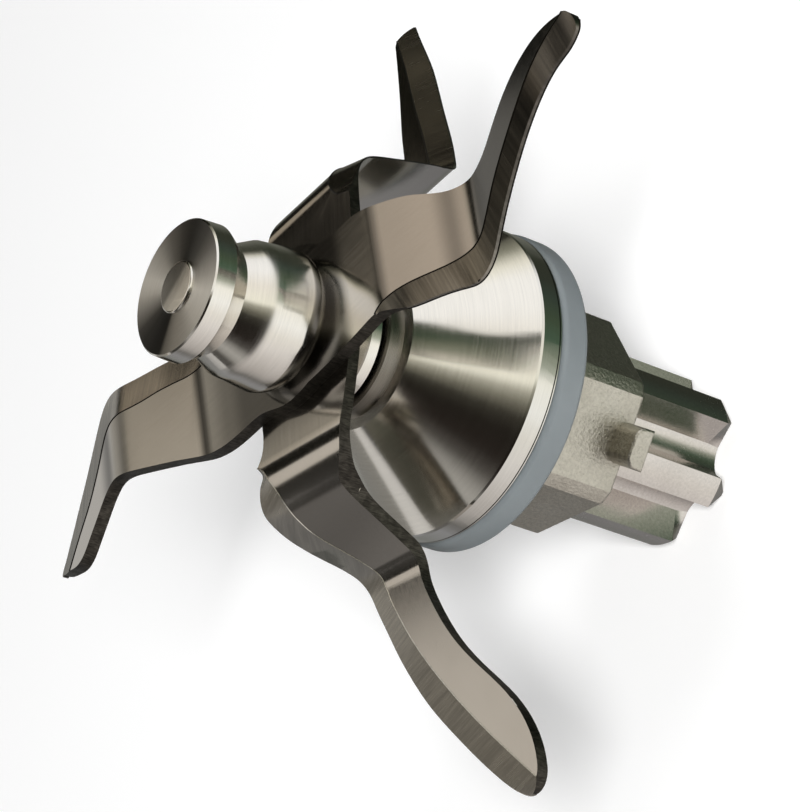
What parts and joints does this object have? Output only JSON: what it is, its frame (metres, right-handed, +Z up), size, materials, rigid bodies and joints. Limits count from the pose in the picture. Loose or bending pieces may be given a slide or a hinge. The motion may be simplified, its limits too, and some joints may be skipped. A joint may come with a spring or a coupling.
{
  "type": "blender blade assembly",
  "caption": "Blender blade assembly: folded sharp blade arms under a turned knob, on a spindle that runs in a cone-shaped cast housing with a seal ring, hexagon, bayonet lugs and star drive.",
  "frame": {"origin": "middle of the drive coupling's flat end face, on the spindle axis", "axes": "+Z up along the spindle axis from the coupling to the knob; +-Y through the two bayonet lugs; X through two corners of the hexagon"},
  "size_m": [0.0873, 0.0893, 0.0803],
  "materials": {
    "turned_steel": "polished, turned stainless steel",
    "blade_steel": "polished stainless sheet with ground edges",
    "cast_steel": "investment-cast stainless steel, cone turned, base as cast",
    "sintered_steel": "sintered steel, sandblasted",
    "spring_steel": "blued spring steel",
    "bearing_steel": "ground and polished bearing steel",
    "shield_steel": "pressed steel shields",
    "cage_steel": "pressed steel cage",
    "zinc_steel": "zinc-plated steel",
    "silicone": "grey-blue silicone rubber",
    "nitrile": "black nitrile rubber"
  },
  "bodies": {
    "housing": {"bearing_housing": "cast_steel", "retaining_ring": "spring_steel", "outer_race_spacer": "zinc_steel", "lower_bearing_outer_race": "bearing_steel", "lower_bearing_shields": "shield_steel", "upper_bearing_outer_race": "bearing_steel", "upper_bearing_shields": "shield_steel", "sealing_ring": "silicone", "lip_seal_case": "zinc_steel", "lip_seal": "nitrile", "garter_spring": "spring_steel"},
    "rotor": {"top_knob": "turned_steel", "upper_blade": "blade_steel", "lower_blade": "blade_steel", "slinger": "turned_steel", "drive_shaft": "turned_steel", "drive_coupling": "sintered_steel", "coupling_key": "zinc_steel", "coupling_screw": "zinc_steel", "coupling_washer": "zinc_steel", "inner_race_spacer": "zinc_steel", "lower_bearing_inner_race": "bearing_steel", "upper_bearing_inner_race": "bearing_steel"},
    "lower_ball_train": {"lower_bearing_balls": "bearing_steel", "lower_bearing_cage": "cage_steel"},
    "upper_ball_train": {"upper_bearing_balls": "bearing_steel", "upper_bearing_cage": "cage_steel"}
  },
  "joints": [
    {"name": "rotor_spin", "type": "hinge", "parent": "housing", "child": "rotor", "pos_m": [0, 0, 0.0334], "axis": [0, 0, 1], "continuous": true},
    {"name": "lower_ball_train_turn", "type": "hinge", "parent": "housing", "child": "lower_ball_train", "pos_m": [0, 0, 0.0237], "axis": [0, 0, 1], "continuous": true},
    {"name": "upper_ball_train_turn", "type": "hinge", "parent": "housing", "child": "upper_ball_train", "pos_m": [0, 0, 0.0425], "axis": [0, 0, 1], "continuous": true}
  ],
  "couplings": [
    {"joint": "lower_ball_train_turn", "follows": "rotor_spin", "ratio": 0.368},
    {"joint": "upper_ball_train_turn", "follows": "rotor_spin", "ratio": 0.368}
  ]
}
